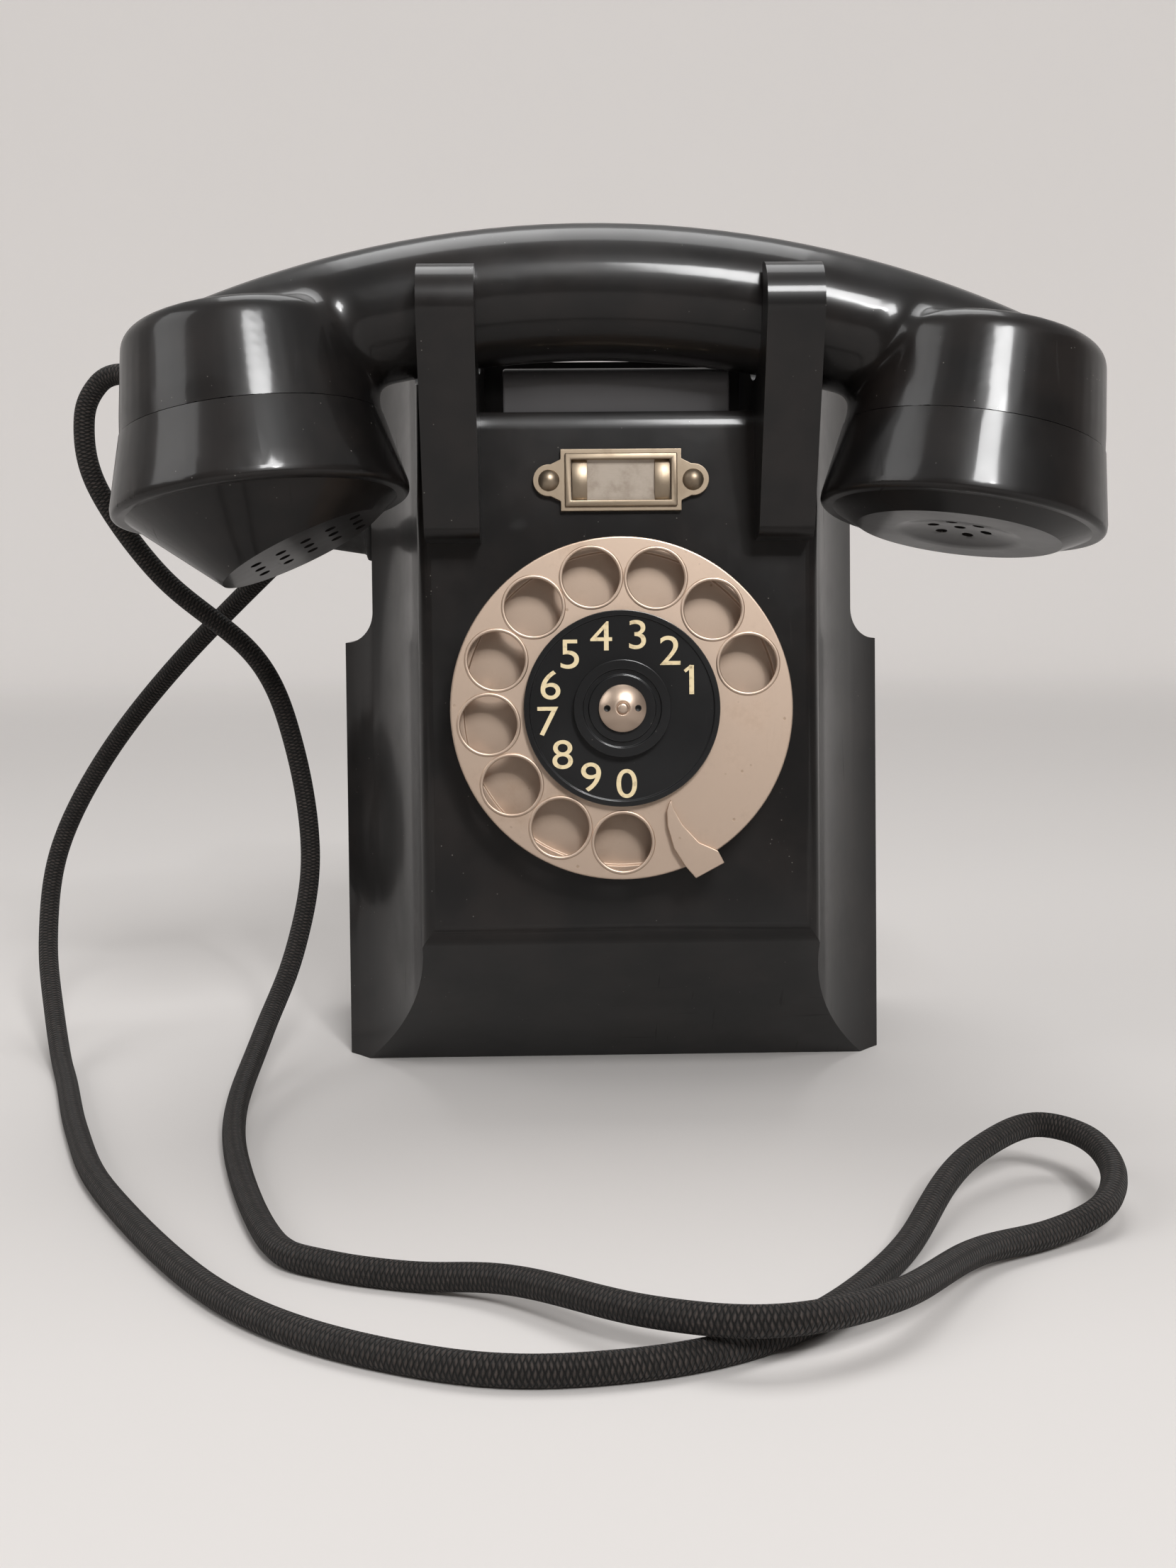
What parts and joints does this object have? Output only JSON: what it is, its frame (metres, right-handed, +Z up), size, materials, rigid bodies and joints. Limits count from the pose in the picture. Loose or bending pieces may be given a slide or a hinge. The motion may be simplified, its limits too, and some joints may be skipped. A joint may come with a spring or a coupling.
{
  "type": "wall telephone",
  "caption": "Black moulded wall telephone that also stands on a table: nickel finger dial, horned cradle with hook switch, arched handset with a hooded mouthpiece, braided cord.",
  "frame": {"origin": "on the standing face, at mid-width, 31 mm behind its front edge", "axes": "+Z up, -Y out of the dial side towards the user, +X to the right seen from the front"},
  "size_m": [0.2641, 0.2635, 0.2002],
  "materials": {
    "bakelite": "black phenolic moulding, polished, dulled by handling",
    "nickel": "satin nickel plate, warm with age",
    "card_metal": "pressed brass sheet, worn plating",
    "paper": "yellowed card",
    "enamel": "black stove enamel with cream numbers",
    "steel": "zinc plated",
    "spring_steel": "blued spring wire",
    "brass": "bright brass",
    "contacts": "contact springs in a phenolic pile-up",
    "magnet": "ground magnet steel",
    "winding": "enamelled copper wire under tape",
    "can": "tinned can",
    "capsule": "spun can",
    "phenolic": "moulded block",
    "rubber": "black rubber",
    "braid": "braided textile cover, black-brown with grey flecks"
  },
  "bodies": {
    "case": {"case_shell": "bakelite", "base_plate": "steel", "case_screws": "steel", "card_frame": "card_metal", "card_paper": "paper", "card_rivets": "card_metal", "dial_dish": "nickel", "finger_stop": "nickel", "dial_frame": "brass", "dial_spring": "spring_steel", "pulse_contacts": "contacts", "switch_bracket": "steel", "switch_pin": "steel", "switch_contacts": "contacts", "gong_posts": "steel", "gong_left": "brass", "gong_right": "brass", "gong_screws": "steel", "bell_frame": "steel", "bell_magnet": "magnet", "bell_coils": "winding", "clapper_pin": "steel", "capacitor": "can", "induction_coil": "winding", "terminal_block": "phenolic", "terminal_screws": "brass", "line_grommet": "rubber", "cord_gland": "rubber", "handset_cord": "braid"},
    "dial": {"dial_shaft": "steel", "main_gear": "brass", "finger_wheel": "nickel", "number_disc": "enamel", "dial_cap": "enamel", "dial_nut": "nickel"},
    "governor": {"governor": "brass"},
    "hook": {"switch_lever": "steel", "cradle_bar": "bakelite", "switch_spring": "spring_steel"},
    "clapper": {"clapper": "brass"},
    "handset": {"handset_grip": "bakelite", "mouth_cap": "bakelite", "ear_cap": "bakelite", "transmitter": "capsule", "receiver": "capsule", "handset_gland": "rubber"}
  },
  "joints": [
    {"name": "handset_lift", "type": "slide", "parent": "case", "child": "handset", "axis": [0, 0, 1], "range_m": [0, 0.06], "deforming": ["handset_cord"]},
    {"name": "hook_switch", "type": "hinge", "parent": "case", "child": "hook", "pos_m": [0, 0.005, 0.15], "axis": [-1, 0, 0], "range_deg": [0, 5.5]},
    {"name": "dial_turn", "type": "hinge", "parent": "case", "child": "dial", "pos_m": [0, -0.07566, 0.092], "axis": [0, 0.9976, -0.0698], "range_deg": [0, 312], "stiffness_Nm_per_rad": 0.012, "springref_deg": -28.65},
    {"name": "governor_spin", "type": "hinge", "parent": "case", "child": "governor", "pos_m": [0, -0.07718, 0.07025], "axis": [0, -0.9976, 0.0698], "range_deg": [0, 625]},
    {"name": "clapper_swing", "type": "hinge", "parent": "case", "child": "clapper", "pos_m": [0, 0.019, 0.0627], "axis": [0, 1, 0], "range_deg": [-4.5, 4.5]}
  ],
  "couplings": [
    {"joint": "hook_switch", "follows": "handset_lift", "rad_per_m": 1.59},
    {"joint": "governor_spin", "follows": "dial_turn", "ratio": 2}
  ]
}
